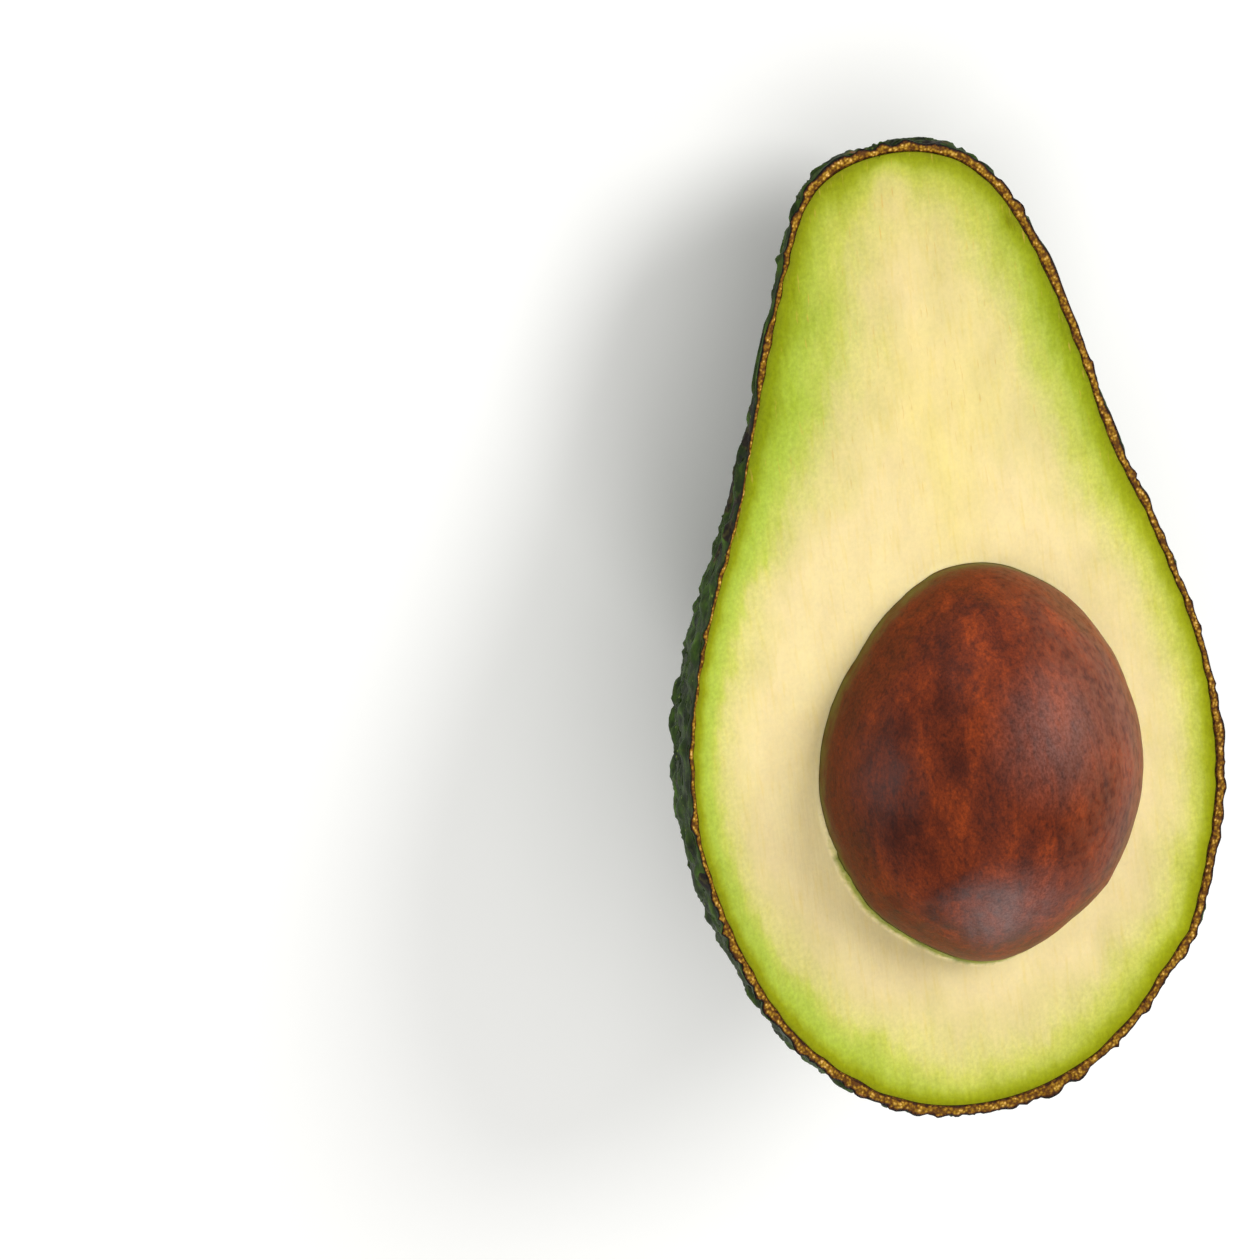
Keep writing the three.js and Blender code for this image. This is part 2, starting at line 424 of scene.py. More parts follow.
def make_flesh(flesh, peel, pit, materials):
    fruit = fruit_outline(flesh.step)
    last = len(fruit) - 1

    def edge_point(i, s, angle=0.0):
        """The flesh's outside, just within the peel."""
        station, sideways = fruit[i].y, s * math.cos(angle)
        inward = trim(station, sideways, angle) + peel_depth(station, sideways, peel) + flesh.gap
        inside = fruit[i] - outward(fruit, i) * inward
        place = turned(inside.x, inside.y, angle)
        place.x = place.x * s + sway(inside.y)
        return place

    # The rim's own line, and how far any place on the cut is from it.
    rim = [edge_point(i, 1.0) for i in range(last + 1)] + [edge_point(i, -1.0) for i in range(last - 1, 0, -1)]
    fine = [a.lerp(b, k / 5) for a, b in zip(rim, rim[1:] + rim[:1]) for k in range(5)]
    nearest = kdtree.KDTree(len(fine))
    for k, place in enumerate(fine):
        nearest.insert(place, k)
    nearest.balance()

    # The pit's own surface, which the flesh is pressed against.
    seed = bpy.data.objects.get("pit_seed")
    if seed is None:
        raise RuntimeError("The flesh is moulded round the pit, so the pit comes first")
    back = TO_ROW.inverted()
    seed_tree = BVHTree.FromPolygons(
        [back @ v.co for v in seed.data.vertices], [p.vertices[:] for p in seed.data.polygons]
    )
    middle = Vector((pit.aside, pit.station, 0))

    def beside_pit(direction, below=0.0, height=0.0):
        """The place just outside the pit, seen from its middle or from this height above it."""
        level = Vector((math.cos(direction), math.sin(direction), 0)) * math.cos(below)
        ray = level - Vector((0, 0, math.sin(below)))
        hit = seed_tree.ray_cast(middle + Vector((0, 0, height)), ray)[0]
        return hit + ray * flesh.gap

    bm = bmesh.new()
    number = bm.verts.layers.float.new("number")
    depth_of = bm.verts.layers.float.new("depth")
    cling_of = bm.verts.layers.float.new("cling")
    verts = [bm.verts.new(p) for p in rim]
    for k, vert in enumerate(verts):
        vert[number] = k
    first = [bm.edges.new((a, b)) for a, b in zip(verts, verts[1:] + verts[:1])]

    # Torn flesh stands up against the pit along its lower left and round its point.
    bearing, torn, ends, tops, lips = [], [], [], [], []
    for place in rim:
        away = place - middle
        direction = math.atan2(away.y, away.x)
        degrees = math.degrees(direction) % 360
        share = ease(180, 212, degrees) * (1 - ease(322, 345, degrees))
        ragged = 0.8 + 1.1 * noise.fractal(Vector((degrees / 11.0, 0.3, 0)), 0.8, 2.0, 5)
        lip = 0.08 + flesh.lip * share * min(1.7, max(0.2, ragged))
        bearing.append(direction)
        torn.append(share)
        lips.append(lip)
        ends.append(beside_pit(direction))
        tops.append(beside_pit(direction, height=lip))

    # The cut face, ring by ring from the peel to the pit.
    ring = first
    for k in range(1, flesh.rings + 1):
        fresh, ring, _ = next_ring(bm, ring)
        t = 0.5 - 0.5 * math.cos(math.pi * k / flesh.rings)
        for vert in fresh:
            i = round(vert[number])
            place = rim[i].lerp(ends[i], t)
            near = 1 - ease(0.0, 1.0, (place - ends[i]).length)
            from_rim = nearest.find(place)[2]
            # How deep the green goes in: narrow by the belly, widest up the left of the neck.
            left, right = between(
                (
                    (0, 0.75, 0.75), (12, 1.3, 1.15), (22, 1.0, 0.88), (30, 0.82, 0.78), (50, 0.68, 0.72),
                    (70, 0.85, 1.0), (80, 1.35, 1.15), (90, 1.85, 1.2), (100, 1.95, 1.15), (108, 1.6, 1.05),
                    (116, 1.1, 0.9), (120, 0.8, 0.8),
                ),
                place.y,
            )
            spread = left + (right - left) * ease(-0.6, 0.6, (place.x - sway(place.y)) / 22)
            depth = from_rim / spread
            depth += 2.6 * soft_spot(place, 1.0, 114.3, 3.6, 5.0) - 0.6 * soft_spot(place, -4.8, 114.5, 2.8, 5.5)
            depth -= 2.2 * soft_spot(place, 15.7, 107.7, 1.3, 1.3)
            vert[depth_of] = max(0.0, depth)
            vert[cling_of] = near * torn[i]
            slow = noise.noise(Vector((place.x / 12, place.y / 20, 0.5)))
            place += (tops[i] - ends[i]) * near**2
            place.z = lips[i] * near**2 + 0.16 * slow * ease(0, 4, from_rim) * (1 - near)
            place.z -= 0.05 * (1 - ease(0.0, 0.7, from_rim))
            vert.co = place

    # The hollow under the pit, then the outside, from the rim down to the keel.
    hollow_steps, outside_steps = 18, 16
    for k in range(1, hollow_steps + 1):
        fresh, ring, _ = next_ring(bm, ring)
        for vert in fresh:
            i = round(vert[number])
            vert.co = beside_pit(bearing[i], below=QUARTER * k / hollow_steps)
            vert[cling_of] = 0.0
    ring = first
    for k in range(1, outside_steps + 1):
        fresh, ring, _ = next_ring(bm, ring)
        for vert in fresh:
            i = round(vert[number])
            s = 1.0 if i <= last else -1.0
            vert.co = edge_point(i if i <= last else 2 * last - i, s, QUARTER * k / outside_steps)
    return finished(bm, "flesh_half", materials, "flesh")


def make_pit(pit, materials):
    outline = pit_outline(pit, 0.45)
    bm = bmesh.new()
    line = [bm.verts.new(p) for p in outline]
    edges = [bm.edges.new(pair) for pair in zip(line, line[1:])]
    bmesh.ops.spin(
        bm, geom=line + edges, cent=(0, 0, 0), axis=(0, 1, 0), angle=2 * math.pi, steps=240, use_merge=True
    )
    bmesh.ops.remove_doubles(bm, verts=bm.verts, dist=1e-4)
    # A seed grows lopsided: how far it swells, in mm, by its bearing on the cut, in degrees from its right side.
    swell = (
        (0, 0.1), (20, 0.2), (35, 0.7), (55, 1.2), (75, 1.0), (95, 0.6), (110, 0.2), (130, 0.1), (150, 0.5),
        (180, 0.8), (200, 0.9), (222, 1.7), (240, 1.1), (258, 0.7), (272, 0.1), (290, 0.2), (305, 0.8),
        (320, 0.5), (340, 0.2), (360, 0.1),
    )
    # Flat places where it was pressed, each by its direction and how far it is from the middle.
    presses = (
        (Vector((-0.66, 0.68, 0.32)), 20.5), (Vector((0.10, 0.88, 0.47)), 22.6), (Vector((0.62, 0.66, 0.42)), 21.4),
        (Vector((-0.62, -0.74, 0.26)), 22.3),
    )
    for vert in bm.verts:
        bearing = math.degrees(math.atan2(vert.co.y, vert.co.x)) % 360
        out = vert.co.normalized()
        level = math.hypot(out.x, out.y)
        grown = between(swell, bearing)[0] * level**2
        broad = noise.noise(vert.co / 15.0 + Vector((1.7, 0.4, 2.2)))
        mid = noise.fractal(vert.co / 6.0, 1.0, 2.0, 3)
        along = noise.fractal(Vector((vert.co.x / 1.6, vert.co.y / 7.0, vert.co.z / 1.6)), 0.9, 2.0, 3)
        vert.co += out * (grown + 0.30 * broad + 0.10 * mid + 0.05 * along - 0.10)
        for direction, reach in presses:
            facing = direction.normalized()
            over = vert.co.dot(facing) - reach
            vert.co -= facing * 0.75 * max(0.0, over)
    bmesh.ops.translate(bm, vec=Vector((pit.aside, pit.station, 0)), verts=bm.verts)
    return finished(bm, "pit_seed", materials, "pit")


# ---------------------------------------------------------------- materials


def add(tree, kind, sockets=None, stops=None, **settings):
    """Adds a shader node. Sockets take values or links, stops fill a colour ramp, and settings are its own."""
    node = tree.nodes.new("ShaderNode" + kind)
    for key, value in settings.items():
        setattr(node, key, value)
    for key, value in (sockets or {}).items():
        if isinstance(value, bpy.types.NodeSocket):
            tree.links.new(value, node.inputs[key])
        else:
            node.inputs[key].default_value = value
    if stops:
        ramp = node.color_ramp
        while len(ramp.elements) < len(stops):
            ramp.elements.new(0.5)
        for element, (place, shade) in zip(ramp.elements, stops):
            element.position, element.color = place, shade
    return node


def grey(value):
    return (value, value, value, 1.0)


def material(name):
    """An empty material with its surface shader, and the fruit's own frame in mm as a vector to draw patterns in."""
    made = bpy.data.materials.new(name)
    made.use_nodes = True
    tree = made.node_tree
    tree.nodes.clear()
    surface = add(tree, "BsdfPrincipled")
    output = add(tree, "OutputMaterial")
    tree.links.new(surface.outputs[0], output.inputs["Surface"])
    place = add(tree, "TexCoord")
    back = Matrix.Rotation(PITCH, 4, "X") @ (-BLUNT_POLE)
    fruit = add(
        tree, "Mapping",
        {"Vector": place.outputs["Object"], "Location": back, "Rotation": (PITCH, 0, 0), "Scale": (1000, 1000, 1000)},
    )
    return made, tree, surface, fruit.outputs[0]


def stretched(tree, place, x, y, z):
    """The same frame, divided by a pattern's size in mm along each axis."""
    return add(tree, "Mapping", {"Vector": place, "Scale": (1 / x, 1 / y, 1 / z)}).outputs[0]


def blend(tree, factor, low, high, kind="MIX"):
    return add(tree, "Mix", {0: factor, 6: low, 7: high}, data_type="RGBA", blend_type=kind).outputs[2]


def sifted(tree, value, low, high, bottom=0.0, top=1.0):
    """A value stretched so that low reads as bottom and high as top, and held there beyond them."""
    return add(tree, "MapRange", {0: value, 1: low, 2: high, 3: bottom, 4: top}).outputs[0]


def near_spot(tree, place, centre, size):
    """1 round a place on the fruit, and 0 from this far off it, in mm."""
    shift = [-c / size for c in centre]
    away = add(tree, "Mapping", {"Vector": place, "Location": shift, "Scale": (1 / size, 1 / size, 1 / size)})
    far = add(tree, "VectorMath", {0: away.outputs[0]}, operation="LENGTH").outputs["Value"]
    return sifted(tree, far, 1.0, 0.25)


def skin_material(peel):
    """Avocado skin: a waxy, leathery rind. Deep green and glossy, with pale pores and corky brown-black scabs."""
    made, tree, surface, place = material("Waxy avocado rind")
    crest = add(tree, "Attribute", attribute_name="crest").outputs["Fac"]
    scab = add(tree, "Attribute", attribute_name="scab").outputs["Fac"]
    scar = add(tree, "Attribute", attribute_name="scar").outputs["Fac"]
    # Slow change of green over 14 mm, and mottling at 1.6 mm.
    slow = add(tree, "TexNoise", {"Vector": stretched(tree, place, 14, 20, 14), "Scale": 1.0, "Detail": 2.0})
    mottle = add(tree, "TexNoise", {"Vector": stretched(tree, place, 1.6, 2.6, 1.6), "Scale": 1.0, "Detail": 5.0})
    green = add(
        tree, "ValToRGB", {"Fac": mottle.outputs[0]},
        stops=[(0.30, peel.skin_deep), (0.52, peel.skin), (0.75, srgb("#4a6a18"))],
    ).outputs[0]
    # Painted shade: the green is darkened down in the creases between the bumps, to half at their bottom.
    green = blend(tree, 1.0, green, sifted(tree, crest, 0.0, 0.7, 0.5, 1.0), "MULTIPLY")
    green = blend(tree, 1.0, green, sifted(tree, slow.outputs[0], 0.35, 0.65, 0.6, 1.15), "MULTIPLY")
    # Pores: dots of 0.25 mm about 1.2 mm apart, not all of them pale.
    pores = add(tree, "TexVoronoi", {"Vector": stretched(tree, place, 1.2, 1.2, 1.2), "Scale": 1.0})
    dot = sifted(tree, pores.outputs["Distance"], 0.18, 0.08)
    some = sifted(tree, pores.outputs["Color"], 0.45, 0.75, 0.0, 0.6)
    green = blend(tree, blend(tree, 1.0, dot, some, "MULTIPLY"), green, peel.speck)
    # Scabs, with a ragged edge and cracks.
    ragged = add(tree, "TexNoise", {"Vector": stretched(tree, place, 0.7, 1.0, 0.7), "Scale": 1.0, "Detail": 4.0})
    edge = add(tree, "Math", {0: scab, 1: ragged.outputs[0]}, operation="ADD").outputs[0]
    stain = sifted(tree, edge, 0.82, 1.0)
    cork = add(
        tree, "ValToRGB", {"Fac": ragged.outputs[0]},
        stops=[(0.35, srgb("#0e0a07")), (0.55, peel.scab), (0.75, srgb("#3a2817"))],
    ).outputs[0]
    green = blend(tree, stain, green, cork)
    # The stem's scar is dry cork inside a yellow-green ring.
    dry = add(tree, "Math", {0: ragged.outputs[0], 1: 0.9, 2: scar}, operation="MULTIPLY_ADD").outputs[0]
    green = blend(tree, sifted(tree, dry, 0.45, 0.95, 0.0, 0.8), green, srgb("#4d5720"))
    green = blend(tree, sifted(tree, dry, 0.85, 1.35), green, srgb("#6b4322"))
    tree.links.new(green, surface.inputs["Base Color"])
    rough = sifted(tree, mottle.outputs[0], 0.3, 0.7, 0.30, 0.42)
    rough = blend(tree, stain, rough, grey(0.42))
    rough = blend(tree, scar, rough, grey(0.85))
    tree.links.new(rough, surface.inputs["Roughness"])
    surface.inputs["IOR"].default_value = 1.45
    # All its gloss is the skin's natural wax, thin and patchy.
    surface.inputs["Specular IOR Level"].default_value = 0.0
    surface.inputs["Coat Weight"].default_value = 0.22
    surface.inputs["Coat Roughness"].default_value = 0.08
    # Leathery grain: soft creases of 0.6 mm.
    grain = add(tree, "TexNoise", {"Vector": stretched(tree, place, 0.6, 1.0, 0.6), "Scale": 1.0, "Detail": 3.0})
    bumps = add(tree, "Bump", {"Strength": 0.4, "Distance": 0.00015, "Height": grain.outputs[0]})
    tree.links.new(bumps.outputs[0], surface.inputs["Normal"])
    return made


def cut_edge_material(peel):
    """Avocado rind cut through with a knife: gritty, moist stone cells, gold in a brown ground, the palest grains
    partly a painted highlight.
    """
    made, tree, surface, place = material("Cut avocado rind")
    across = add(tree, "Attribute", attribute_name="across").outputs["Fac"]
    # Stone cells of 0.4 mm, in clumps of 0.8 mm: gold grains in a brown ground, their palest tops a painted highlight
    # of the moist grains.
    cells = add(tree, "TexVoronoi", {"Vector": stretched(tree, place, 0.42, 0.42, 0.42), "Scale": 1.0})
    clumps = add(
        tree, "TexNoise", {"Vector": stretched(tree, place, 0.8, 0.8, 0.8), "Scale": 1.0, "Detail": 4.0, "Roughness": 0.65}
    )
    grain = add(tree, "Math", {0: cells.outputs["Distance"], 1: -0.45, 2: clumps.outputs[0]}, operation="MULTIPLY_ADD")
    tone = add(
        tree, "ValToRGB", {"Fac": grain.outputs[0]},
        stops=[
            (0.15, peel.edge_brown), (0.26, srgb("#875d0a")), (0.35, srgb("#a27a14")), (0.44, srgb("#c79a38")),
            (0.53, peel.edge_gold_and_glint),
        ],
    ).outputs[0]
    # The skin's own cut line is nearly black, and a dark brown line is painted against the flesh: painted shade where
    # the peel meets it.
    wobble = add(tree, "TexNoise", {"Vector": stretched(tree, place, 0.6, 0.6, 0.6), "Scale": 1.0, "Detail": 3.0})
    shift = add(tree, "Math", {0: wobble.outputs[0], 1: 0.34, 2: across}, operation="MULTIPLY_ADD").outputs[0]
    side = add(
        tree, "ValToRGB", {"Fac": shift},
        stops=[
            (0.25, srgb("#120c06")), (0.36, srgb("#9a7444")), (0.50, srgb("#ffffff")), (0.98, srgb("#fff6e4")),
            (1.16, srgb("#9a8440")),
        ],
    ).outputs[0]
    tone = blend(tree, 1.0, tone, side, "MULTIPLY")
    tree.links.new(tone, surface.inputs["Base Color"])
    surface.inputs["Roughness"].default_value = 0.5
    surface.inputs["Specular IOR Level"].default_value = 0.15
    bumps = add(tree, "Bump", {"Strength": 1.0, "Distance": 0.0003, "Height": grain.outputs[0]})
    tree.links.new(bumps.outputs[0], surface.inputs["Normal"])
    return made


def flesh_material(flesh):
    """Ripe avocado flesh, cut with a knife: soft and moist, slightly translucent, with fine fibres along the fruit."""
    made, tree, surface, place = material("Avocado flesh")
    depth = add(tree, "Attribute", attribute_name="depth").outputs["Fac"]
    cling = add(tree, "Attribute", attribute_name="cling").outputs["Fac"]
    # The green margin wanders by a fifth over 8 mm, and its inner side is drawn out into streaks of 1 mm by 3 mm.
    wander = add(tree, "TexNoise", {"Vector": stretched(tree, place, 6, 11, 6), "Scale": 1.0, "Detail": 3.0})
    streak = add(tree, "TexNoise", {"Vector": stretched(tree, place, 1.0, 3.0, 2.0), "Scale": 1.0, "Detail": 5.0})
    drift = sifted(tree, wander.outputs[0], 0.3, 0.7, 0.80, 1.20)
    deep = add(tree, "Math", {0: depth, 1: drift}, operation="MULTIPLY").outputs[0]
    pull = add(tree, "Math", {0: streak.outputs[0], 1: 0.5}, operation="SUBTRACT").outputs[0]
    pull = add(tree, "Math", {0: pull, 1: sifted(tree, depth, 0.5, 4.0, 0.6, 2.6)}, operation="MULTIPLY").outputs[0]
    deep = add(tree, "Math", {0: deep, 1: pull}, operation="ADD").outputs[0]
    tone = add(
        tree, "ValToRGB", {"Fac": sifted(tree, deep, 0.0, 20.0)},
        stops=[
            (0.0, flesh.rim), (0.035, srgb("#9aa30a")), (0.075, srgb("#acb528")), (0.125, flesh.light_green),
            (0.19, srgb("#d4d566")), (0.27, srgb("#e1db85")), (0.40, srgb("#ecde98")), (0.60, flesh.cream),
        ],
    ).outputs[0]
    # The margin is greener up the neck than round the belly, and all the flesh is a little deeper there.
    split = add(tree, "SeparateXYZ", {"Vector": place})
    neck = sifted(tree, split.outputs["Y"], 66.0, 88.0)
    margin = blend(tree, 1.0, neck, sifted(tree, deep, 7.0, 2.0), "MULTIPLY")
    margin = blend(tree, 1.0, margin, sifted(tree, split.outputs["Y"], 112.0, 96.0, 0.3, 1.0), "MULTIPLY")
    tone = blend(tree, margin, tone, blend(tree, 1.0, tone, srgb("#f2fdf2"), "MULTIPLY"))
    tone = blend(tree, 1.0, tone, blend(tree, neck, srgb("#fffdff"), srgb("#f7f5f2")), "MULTIPLY")
    # Along the left of the belly it is a fresher green, from 1 mm to 3 mm in.
    fresh = blend(tree, 1.0, sifted(tree, deep, 0.7, 1.7), sifted(tree, deep, 5.0, 2.6), "MULTIPLY")
    fresh = blend(tree, 1.0, fresh, sifted(tree, split.outputs["X"], -4.0, -22.0, 0.0, 0.55), "MULTIPLY")
    tone = blend(tree, fresh, tone, srgb("#b3ce4c"))
    # A yellower fan opens above the pit and fades towards the stem.
    off = add(tree, "Math", {0: split.outputs["X"], 1: 3.7}, operation="SUBTRACT").outputs[0]
    off = add(tree, "Math", {0: off}, operation="ABSOLUTE").outputs[0]
    fan = add(tree, "Math", {0: split.outputs["Y"], 1: -0.28, 2: off}, operation="MULTIPLY_ADD").outputs[0]
    fan = sifted(tree, fan, -14.5, -24.0)
    fade = sifted(tree, split.outputs["Y"], 101.0, 86.0)
    patches = add(tree, "TexNoise", {"Vector": stretched(tree, place, 3, 14, 6), "Scale": 1.0, "Detail": 4.0})
    yellow = blend(tree, 1.0, fan, fade, "MULTIPLY")
    yellow = blend(tree, 1.0, yellow, sifted(tree, patches.outputs[0], 0.35, 0.6, 0.45, 0.95), "MULTIPLY")
    tone = blend(tree, yellow, tone, flesh.yellow)
    by_stem = sifted(tree, split.outputs["Y"], 98.0, 114.0, 0.0, 0.35)
    tone = blend(tree, by_stem, tone, blend(tree, 1.0, tone, srgb("#f2eed2"), "MULTIPLY"))
    # Fibres: thin yellow streaks of 0.6 mm by 5 mm, and pale and dark clouds of 5 mm.
    fibres = add(tree, "TexNoise", {"Vector": stretched(tree, place, 0.6, 5.0, 2.0), "Scale": 1.0, "Detail": 5.0})
    thread = sifted(tree, fibres.outputs[0], 0.52, 0.74, 0.0, 0.28)
    tone = blend(tree, thread, tone, blend(tree, 1.0, tone, srgb("#f4ea98"), "MULTIPLY"))
    # Sparse threads of the fruit's own vessels, 0.4 mm by 4 mm, end in the neck as amber flecks.
    vessels = add(tree, "TexNoise", {"Vector": stretched(tree, place, 0.45, 3.6, 1.0), "Scale": 1.0, "Detail": 3.0})
    fleck = blend(tree, 1.0, neck, sifted(tree, vessels.outputs[0], 0.64, 0.74, 0.0, 0.5), "MULTIPLY")
    tone = blend(tree, fleck, tone, srgb("#d8ad4e"))
    cloud = add(tree, "TexNoise", {"Vector": stretched(tree, place, 4, 7, 4), "Scale": 1.0, "Detail": 5.0})
    tone = blend(tree, 1.0, tone, sifted(tree, cloud.outputs[0], 0.3, 0.7, 0.95, 1.05), "MULTIPLY")
    # Single cells show as a grain of 0.5 mm, strongest where the flesh is green.
    cells = add(
        tree, "TexNoise", {"Vector": stretched(tree, place, 0.5, 0.6, 0.5), "Scale": 1.0, "Detail": 4.0, "Roughness": 0.65}
    )
    grain = blend(
        tree, sifted(tree, deep, 9.0, 2.0), sifted(tree, cells.outputs[0], 0.3, 0.7, 0.965, 1.035),
        sifted(tree, cells.outputs[0], 0.3, 0.7, 0.86, 1.14),
    )
    tone = blend(tree, 1.0, tone, grain, "MULTIPLY")
    # Flesh that clings to the pit is green.
    crumbs = add(tree, "TexNoise", {"Vector": stretched(tree, place, 0.8, 0.8, 0.8), "Scale": 1.0, "Detail": 4.0})
    clings = add(tree, "Math", {0: crumbs.outputs[0], 1: 0.9, 2: cling}, operation="MULTIPLY_ADD").outputs[0]
    tone = blend(tree, sifted(tree, clings, 0.62, 1.3, 0.0, 0.95), tone, flesh.cling)
    tree.links.new(tone, surface.inputs["Base Color"])
    rough = sifted(tree, wander.outputs[0], 0.3, 0.7, 0.38, 0.50)
    tree.links.new(rough, surface.inputs["Roughness"])
    surface.inputs["IOR"].default_value = 1.4
    surface.inputs["Specular IOR Level"].default_value = 0.15
    surface.inputs["Subsurface Weight"].default_value = 0.25
    surface.inputs["Subsurface Radius"].default_value = (1.0, 0.85, 0.4)
    surface.inputs["Subsurface Scale"].default_value = 0.002
    # The knife leaves fine drawn lines, 0.4 mm apart.
    drawn = add(tree, "TexNoise", {"Vector": stretched(tree, place, 0.4, 5.0, 2.0), "Scale": 1.0, "Detail": 4.0})
    bumps = add(tree, "Bump", {"Strength": 0.25, "Distance": 0.00012, "Height": drawn.outputs[0]})
    tree.links.new(bumps.outputs[0], surface.inputs["Normal"])
    return made


def pit_material(pit):
    """Avocado seed coat: a smooth, papery brown skin, moist from the fruit, mottled russet with dark veins."""
    made, tree, surface, place = material("Avocado seed coat")
    # Mottles of 4 mm by 10 mm, drawn out along the pit.
    broad = add(
        tree, "TexNoise",
        {"Vector": stretched(tree, place, 3.6, 9.5, 3.6), "Scale": 1.0, "Detail": 7.0, "Roughness": 0.66, "Distortion": 0.3},
    )
    split = add(tree, "SeparateXYZ", {"Vector": place})
    height = split.outputs["Z"]
    high = sifted(tree, height, 2.0, 9.0, 0.35, 1.0)
    mottle = add(tree, "Math", {0: broad.outputs[0], 1: 0.5}, operation="SUBTRACT").outputs[0]
    mottle = add(tree, "Math", {0: mottle, 1: high, 2: 0.5}, operation="MULTIPLY_ADD").outputs[0]
    tone = add(
        tree, "ValToRGB", {"Fac": mottle},
        stops=[(0.30, pit.umber), (0.43, pit.brown), (0.54, srgb("#732a08")), (0.68, pit.russet)],
    ).outputs[0]
    # Fine grain of the coat, 0.3 mm, drawn a little along the pit, and dark dots of 0.8 mm.
    fine = add(
        tree, "TexNoise",
        {"Vector": stretched(tree, place, 0.32, 0.5, 0.32), "Scale": 1.0, "Detail": 4.0, "Roughness": 0.75},
    )
    tone = blend(tree, 1.0, tone, sifted(tree, fine.outputs[0], 0.34, 0.66, 0.62, 1.34), "MULTIPLY")
    dots = add(tree, "TexNoise", {"Vector": stretched(tree, place, 0.8, 1.3, 0.8), "Scale": 1.0, "Detail": 3.0})
    tone = blend(tree, 1.0, tone, sifted(tree, dots.outputs[0], 0.54, 0.68, 1.0, 0.66), "MULTIPLY")
    # Painted light: its right side is painted paler than its left, as if lit more from there, broken by the dark dots.
    painted_light_right = sifted(tree, split.outputs["X"], pit.aside + 1.0, pit.aside + 15.0)
    painted_light_right = add(tree, "Math", {0: painted_light_right, 1: sifted(tree, dots.outputs[0], 0.62, 0.38, 0.3, 1.0)}, operation="MULTIPLY").outputs[0]
    tone = blend(tree, sifted(tree, painted_light_right, 0.0, 1.0, 0.0, 0.60), tone, srgb("#955b3e"))
    # Painted highlights: a violet-grey sheen is painted on its crown and above its point, broken by the grain.
    crown = near_spot(tree, place, (pit.aside + 4.0, pit.station + 6.0, 18.0), 10.0)
    point = near_spot(tree, place, (pit.aside - 3.0, pit.station - 15.0, 14.0), 9.0)
    painted_sheen = add(tree, "Math", {0: crown, 1: point}, operation="MAXIMUM").outputs[0]
    painted_sheen = add(tree, "Math", {0: painted_sheen, 1: sifted(tree, fine.outputs[0], 0.4, 0.6, 0.12, 0.38)}, operation="MULTIPLY").outputs[0]
    tone = blend(tree, painted_sheen, tone, srgb("#8f6a62"))
    # Painted shade: its left side is darkened, to 70 % at the far left.
    tone = blend(
        tree, 1.0, tone, sifted(tree, split.outputs["X"], pit.aside - 3.0, pit.aside - 17.0, 1.0, 0.70), "MULTIPLY"
    )
    # A brown film of flesh stays on it near the cut, and turns olive right beside it.
    patchy = add(tree, "TexNoise", {"Vector": stretched(tree, place, 2.5, 2.5, 1.2), "Scale": 1.0, "Detail": 5.0})
    film = add(tree, "Math", {0: sifted(tree, height, 5.0, 0.0), 1: patchy.outputs[0]}, operation="MULTIPLY").outputs[0]
    tone = blend(tree, sifted(tree, film, 0.12, 0.5, 0.0, 0.8), tone, pit.film)
    olive = add(tree, "Math", {0: sifted(tree, height, 3.4, 0.0), 1: patchy.outputs[0]}, operation="MULTIPLY").outputs[0]
    tone = blend(tree, sifted(tree, olive, 0.15, 0.5, 0.0, 0.8), tone, srgb("#666122"))
    tree.links.new(tone, surface.inputs["Base Color"])
    rough = sifted(tree, broad.outputs[0], 0.3, 0.7, 0.42, 0.52)
    tree.links.new(rough, surface.inputs["Roughness"])
    surface.inputs["IOR"].default_value = 1.45
    surface.inputs["Specular IOR Level"].default_value = 0.22
    bumps = add(tree, "Bump", {"Strength": 0.3, "Distance": 0.0001, "Height": fine.outputs[0]})
    tree.links.new(bumps.outputs[0], surface.inputs["Normal"])
    return made


def acrylic_material(stage):
    """Matt white acrylic, lit from below: no gloss, and the light that comes through it leaves only a faint shadow."""
    made, _, surface, _ = material("Back-lit white acrylic")
    surface.inputs["Base Color"].default_value = stage.floor
    surface.inputs["Roughness"].default_value = 0.9
    surface.inputs["Emission Color"].default_value = stage.floor
    surface.inputs["Emission Strength"].default_value = stage.glow
    return made


# ---------------------------------------------------------------- operators


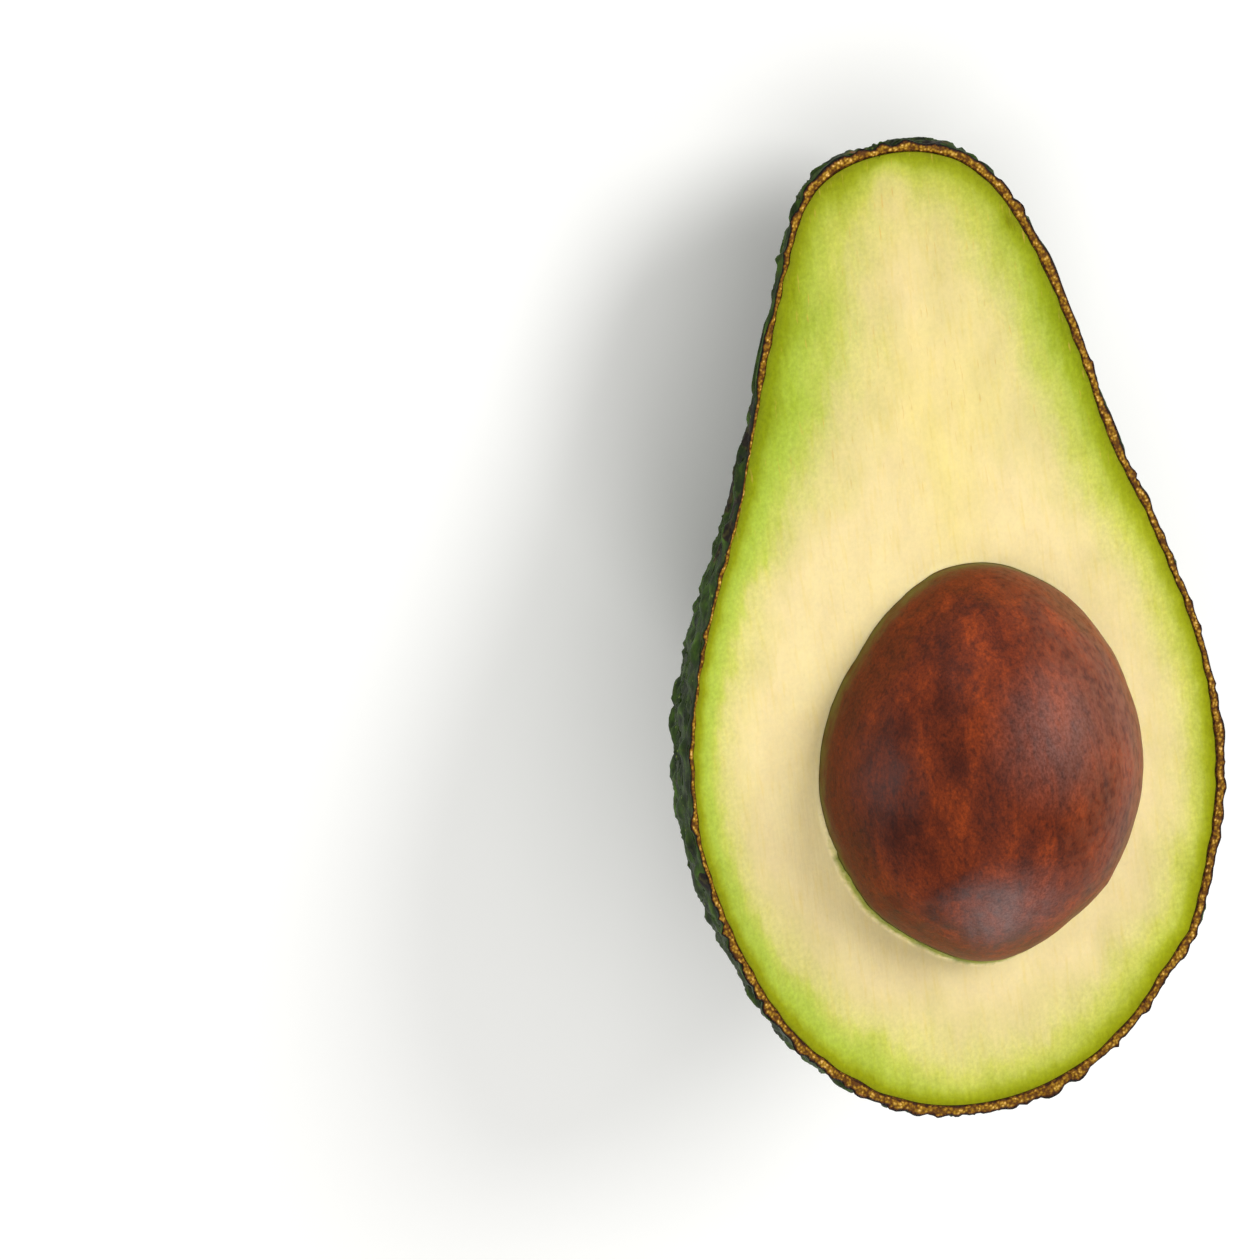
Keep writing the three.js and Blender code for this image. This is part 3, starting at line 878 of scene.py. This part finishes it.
class AVOCADO_OT_stage(bpy.types.Operator):
    """Add the floor, the soft lights and the camera"""

    bl_idname = "avocado.stage"
    bl_label = "Stage"
    bl_options = {"REGISTER", "UNDO"}

    def execute(self, context):
        stage = context.scene.avocado_stage
        scene = context.scene
        bm = bmesh.new()
        bmesh.ops.create_grid(bm, x_segments=8, y_segments=8, size=1.5)
        mesh = bpy.data.meshes.new("floor")
        bm.to_mesh(mesh)
        bm.free()
        floor = bpy.data.objects.new("floor", mesh)
        floor.location.z = -0.0002
        mesh.materials.append(acrylic_material(stage))
        scene.collection.objects.link(floor)

        world = bpy.data.worlds.new("studio")
        scene.world = world
        world.use_nodes = True
        world.node_tree.nodes["Background"].inputs["Color"].default_value = srgb("#faf9f7")
        world.node_tree.nodes["Background"].inputs["Strength"].default_value = 0.38
        middle = Vector((0, 0, 0.03))
        for name, place, size, power in (
            ("key", Vector((0.62, 0.42, 0.60)), 0.60, 5.7),
            ("overhead", Vector((-0.15, 0.00, 1.10)), 1.20, 2.6),
            ("fill", Vector((-0.70, 0.05, 0.17)), 0.14, 1.35),
            ("front", Vector((0.05, -0.75, 0.27)), 0.24, 2.2),
            ("rear", Vector((-0.10, 0.80, 0.30)), 0.30, 1.2),
        ):
            light = bpy.data.lights.new(name, "AREA")
            light.shape = "DISK"
            light.size = size
            light.energy = power
            lamp = bpy.data.objects.new(name, light)
            lamp.location = place
            lamp.rotation_euler = (middle - place).to_track_quat("-Z", "Y").to_euler()
            scene.collection.objects.link(lamp)

        # The camera looks down on the cut, a little from the left and from the stem end, which is up in its view.
        a, b, roll = stage.leftward, stage.stemward, stage.roll
        back = Vector((-math.sin(a) * math.cos(b), math.sin(b), math.cos(a) * math.cos(b)))
        up = (Vector((0, 1, 0)) - back * back.y).normalized()
        right = up.cross(back)
        right, up = right * math.cos(roll) + up * math.sin(roll), up * math.cos(roll) - right * math.sin(roll)
        tip = Matrix.Rotation(-PITCH, 3, "X")
        aim = TO_ROW @ Vector((-38.59, 69.02, 0))
        camera = bpy.data.objects.new("camera", bpy.data.cameras.new("camera"))
        facing = Matrix([tip @ right, tip @ up, tip @ back]).transposed()
        camera.matrix_world = Matrix.Translation(aim + tip @ back * stage.distance) @ facing.to_4x4()
        camera.data.sensor_width = 36
        camera.data.lens = 36 * stage.distance / stage.width
        camera.data.clip_start, camera.data.clip_end = 0.05, 20
        scene.collection.objects.link(camera)
        scene.camera = camera
        scene.view_settings.view_transform = "Standard"
        scene.view_settings.look = "None"
        return {"FINISHED"}


class AVOCADO_OT_peel(bpy.types.Operator):
    """Add the peel: a pebbled, leathery bowl with its cut edge"""

    bl_idname = "avocado.peel"
    bl_label = "Peel"
    bl_options = {"REGISTER", "UNDO"}

    def execute(self, context):
        peel = context.scene.avocado_peel
        make_peel(peel, [skin_material(peel), cut_edge_material(peel)])
        return {"FINISHED"}


class AVOCADO_OT_flesh(bpy.types.Operator):
    """Add the flesh, with the hollow that the pit sits in"""

    bl_idname = "avocado.flesh"
    bl_label = "Flesh"
    bl_options = {"REGISTER", "UNDO"}

    def execute(self, context):
        scene = context.scene
        make_flesh(scene.avocado_flesh, scene.avocado_peel, scene.avocado_pit, [flesh_material(scene.avocado_flesh)])
        return {"FINISHED"}


class AVOCADO_OT_pit(bpy.types.Operator):
    """Add the pit"""

    bl_idname = "avocado.pit"
    bl_label = "Pit"
    bl_options = {"REGISTER", "UNDO"}

    def execute(self, context):
        pit = context.scene.avocado_pit
        make_pit(pit, [pit_material(pit)])
        return {"FINISHED"}


class AVOCADO_PT_panel(bpy.types.Panel):
    """Lists the pieces, with the sizes and colours of each"""

    bl_idname = "AVOCADO_PT_panel"
    bl_label = "Halved Avocado"
    bl_space_type = "VIEW_3D"
    bl_region_type = "UI"
    bl_category = "Avocado"

    def draw(self, context):
        for name in ("stage", "peel", "flesh", "pit"):
            box = self.layout.box()
            box.operator(f"avocado.{name}")
            settings = getattr(context.scene, f"avocado_{name}")
            for key in settings.bl_rna.properties.keys():
                if key not in ("rna_type", "name"):
                    box.prop(settings, key)


GROUPS = {"stage": StageSettings, "peel": PeelSettings, "flesh": FleshSettings, "pit": PitSettings}
TOOLS = (AVOCADO_OT_stage, AVOCADO_OT_peel, AVOCADO_OT_flesh, AVOCADO_OT_pit, AVOCADO_PT_panel)


def register():
    for name, group in GROUPS.items():
        bpy.utils.register_class(group)
        setattr(bpy.types.Scene, f"avocado_{name}", PointerProperty(type=group))
    for tool in TOOLS:
        bpy.utils.register_class(tool)


def unregister():
    for tool in reversed(TOOLS):
        bpy.utils.unregister_class(tool)
    for name, group in reversed(GROUPS.items()):
        delattr(bpy.types.Scene, f"avocado_{name}")
        bpy.utils.unregister_class(group)


def main():
    register()
    bpy.ops.avocado.stage()
    bpy.ops.avocado.peel()
    bpy.ops.avocado.pit()
    bpy.ops.avocado.flesh()


if __name__ == "__main__":
    main()
